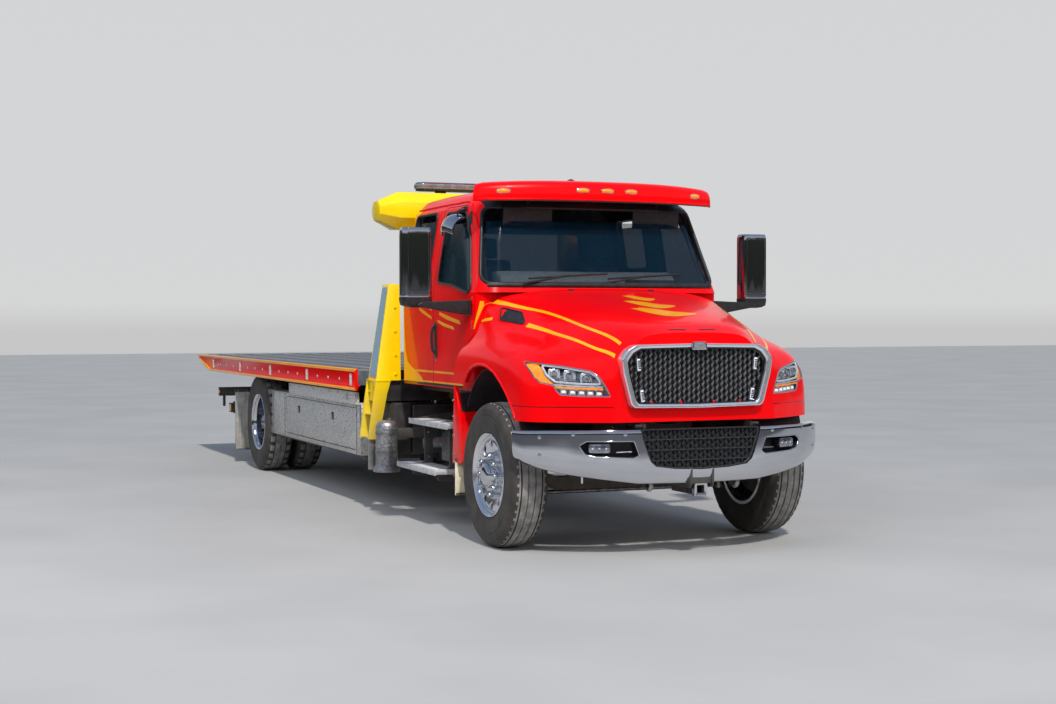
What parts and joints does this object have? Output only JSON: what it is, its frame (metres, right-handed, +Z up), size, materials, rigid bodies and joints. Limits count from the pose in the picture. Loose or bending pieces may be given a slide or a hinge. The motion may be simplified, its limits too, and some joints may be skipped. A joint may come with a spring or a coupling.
{
  "type": "rollback tow truck",
  "caption": "Flatbed car-carrier tow truck: conventional extended cab, tilting and sliding deck, winch, rear wheel lift and a yellow pylon with a light bar.",
  "frame": {"origin": "on the ground, midway along and across the whole truck", "axes": "+Y to the rear (the truck faces -Y), +X to its left side, +Z up"},
  "size_m": [3.076, 10.38, 2.7799],
  "materials": {
    "red_paint": "gloss",
    "yellow_paint": "gloss",
    "black_frame": "satin",
    "chrome": "polished",
    "aluminium": "satin",
    "polished_aluminium": "polished",
    "tyre": "matte",
    "glass": "clear",
    "lamp_glass": "clear",
    "black_plastic": "matte",
    "seat_fabric": "woven",
    "cast_iron": "rough",
    "deck_steel": "worn",
    "flap_rubber": "matte",
    "rod_chrome": "polished",
    "steel": "brushed"
  },
  "bodies": {
    "chassis": {"frame_rails": "black_frame", "front_axle": "cast_iron", "rear_axle": "cast_iron", "leaf_springs": "black_frame", "drive_shaft": "steel", "engine_block": "cast_iron", "cab_shell": "red_paint", "windshield": "glass", "cab_windows": "glass", "sun_visor": "red_paint", "dashboard": "black_plastic", "steering_wheel": "black_plastic", "seats": "seat_fabric", "bumper": "chrome", "bumper_grille": "black_plastic", "splash_panels": "red_paint", "cab_steps": "aluminium", "fuel_tank": "aluminium", "exhaust_canister": "aluminium", "hydraulic_tank": "black_frame", "pylon": "yellow_paint", "light_bar": "lamp_glass", "toolboxes": "aluminium", "mudflaps": "flap_rubber", "rear_light_bar": "black_frame"},
    "hood": {"hood": "red_paint", "headlights": "lamp_glass", "grille_surround": "chrome", "grille_mesh": "black_plastic"},
    "door_left": {"door_left": "red_paint", "door_glass_left": "glass", "mirror_left": "chrome"},
    "door_right": {"door_right": "red_paint", "door_glass_right": "glass", "mirror_right": "chrome"},
    "steer_left": {"knuckle_left": "cast_iron"},
    "steer_right": {"knuckle_right": "cast_iron"},
    "tie_rod": {"tie_rod": "steel"},
    "wheel_front_left": {"wheel_front_left": "polished_aluminium", "tyre_front_left": "tyre"},
    "wheel_front_right": {"wheel_front_right": "polished_aluminium", "tyre_front_right": "tyre"},
    "wheels_rear_left": {"wheels_rear_left": "polished_aluminium", "tyres_rear_left": "tyre"},
    "wheels_rear_right": {"wheels_rear_right": "polished_aluminium", "tyres_rear_right": "tyre"},
    "toolbox_door_left": {"toolbox_door_left": "aluminium"},
    "toolbox_door_right": {"toolbox_door_right": "aluminium"},
    "tilt_frame": {"tilt_subframe": "black_frame"},
    "tilt_barrels": {"tilt_cylinder_barrels": "black_frame"},
    "tilt_rods": {"tilt_cylinder_rods": "rod_chrome"},
    "deck": {"deck": "deck_steel", "deck_side_rails": "red_paint", "winch": "black_frame"},
    "lift_boom": {"lift_boom": "black_frame"},
    "lift_crossbar": {"lift_crossbar": "black_frame"},
    "lift_barrel": {"lift_cylinder_barrel": "black_frame"},
    "lift_rod": {"lift_cylinder_rod": "rod_chrome"}
  },
  "joints": [
    {"name": "steering_left", "type": "hinge", "parent": "chassis", "child": "steer_left", "pos_m": [0.9, -4.15, 0.51], "axis": [0, 0, 1], "range_deg": [-35, 35]},
    {"name": "steering_right", "type": "hinge", "parent": "chassis", "child": "steer_right", "pos_m": [-0.9, -4.15, 0.51], "axis": [0, 0, 1], "range_deg": [-35, 35]},
    {"name": "tie_rod_pivot", "type": "hinge", "parent": "steer_left", "child": "tie_rod", "pos_m": [0.8, -3.98, 0.35], "axis": [0, 0, 1], "range_deg": [-40, 40]},
    {"name": "front_wheel_left_spin", "type": "hinge", "parent": "steer_left", "child": "wheel_front_left", "pos_m": [1.018, -4.15, 0.51], "axis": [1, 0, 0], "continuous": true},
    {"name": "front_wheel_right_spin", "type": "hinge", "parent": "steer_right", "child": "wheel_front_right", "pos_m": [-1.018, -4.15, 0.51], "axis": [1, 0, 0], "continuous": true},
    {"name": "rear_wheels_left_spin", "type": "hinge", "parent": "chassis", "child": "wheels_rear_left", "pos_m": [0.9225, 2.35, 0.51], "axis": [1, 0, 0], "continuous": true},
    {"name": "rear_wheels_right_spin", "type": "hinge", "parent": "chassis", "child": "wheels_rear_right", "pos_m": [-0.9225, 2.35, 0.51], "axis": [1, 0, 0], "continuous": true},
    {"name": "hood_tilt", "type": "hinge", "parent": "chassis", "child": "hood", "pos_m": [0, -5.11, 0.89], "axis": [1, 0, 0], "range_deg": [0, 60]},
    {"name": "door_left_hinge", "type": "hinge", "parent": "chassis", "child": "door_left", "pos_m": [1.005, -3.55, 1.5], "axis": [0, 0, -1], "range_deg": [0, 65]},
    {"name": "door_right_hinge", "type": "hinge", "parent": "chassis", "child": "door_right", "pos_m": [-1.005, -3.55, 1.5], "axis": [0, 0, 1], "range_deg": [0, 65]},
    {"name": "toolbox_door_left_hinge", "type": "hinge", "parent": "chassis", "child": "toolbox_door_left", "pos_m": [1.199, 0.04, 0.469], "axis": [0, 1, 0], "range_deg": [0, 90]},
    {"name": "toolbox_door_right_hinge", "type": "hinge", "parent": "chassis", "child": "toolbox_door_right", "pos_m": [-1.199, 0.04, 0.469], "axis": [0, -1, 0], "range_deg": [0, 90]},
    {"name": "bed_tilt", "type": "hinge", "parent": "chassis", "child": "tilt_frame", "pos_m": [0, 3.75, 0.87], "axis": [-1, 0, 0], "range_deg": [0, 11.5]},
    {"name": "tilt_cylinder_pivot", "type": "hinge", "parent": "chassis", "child": "tilt_barrels", "pos_m": [0, 0.15, 0.74], "axis": [1, 0, 0], "range_deg": [0, 25]},
    {"name": "tilt_cylinder_slide", "type": "slide", "parent": "tilt_barrels", "child": "tilt_rods", "axis": [0, 0.9749, 0.2228], "range_m": [0, 0.4]},
    {"name": "bed_slide", "type": "slide", "parent": "tilt_frame", "child": "deck", "axis": [0, 1, 0], "range_m": [0, 3.7]},
    {"name": "wheel_lift_tilt", "type": "hinge", "parent": "chassis", "child": "lift_boom", "pos_m": [0, 4, 0.53], "axis": [-1, 0, 0], "range_deg": [0, 12]},
    {"name": "wheel_lift_slide", "type": "slide", "parent": "lift_boom", "child": "lift_crossbar", "axis": [0, 1, 0], "range_m": [0, 0.35]},
    {"name": "lift_cylinder_pivot", "type": "hinge", "parent": "chassis", "child": "lift_barrel", "pos_m": [0, 3.25, 0.42], "axis": [-1, 0, 0], "range_deg": [0, 12]},
    {"name": "lift_cylinder_slide", "type": "slide", "parent": "lift_barrel", "child": "lift_rod", "axis": [0, 0.9993, -0.0382], "range_m": [-0.2, 0.2]}
  ],
  "couplings": [
    {"joint": "steering_right", "follows": "steering_left", "ratio": 1},
    {"joint": "tie_rod_pivot", "follows": "steering_left", "ratio": -1.12},
    {"joint": "tilt_cylinder_pivot", "follows": "bed_tilt", "ratio": 1.8021},
    {"joint": "tilt_cylinder_slide", "follows": "bed_tilt", "m_per_rad": 1.3518},
    {"joint": "lift_cylinder_pivot", "follows": "wheel_lift_tilt", "ratio": 0.3176},
    {"joint": "lift_cylinder_slide", "follows": "wheel_lift_tilt", "m_per_rad": -0.16336}
  ]
}
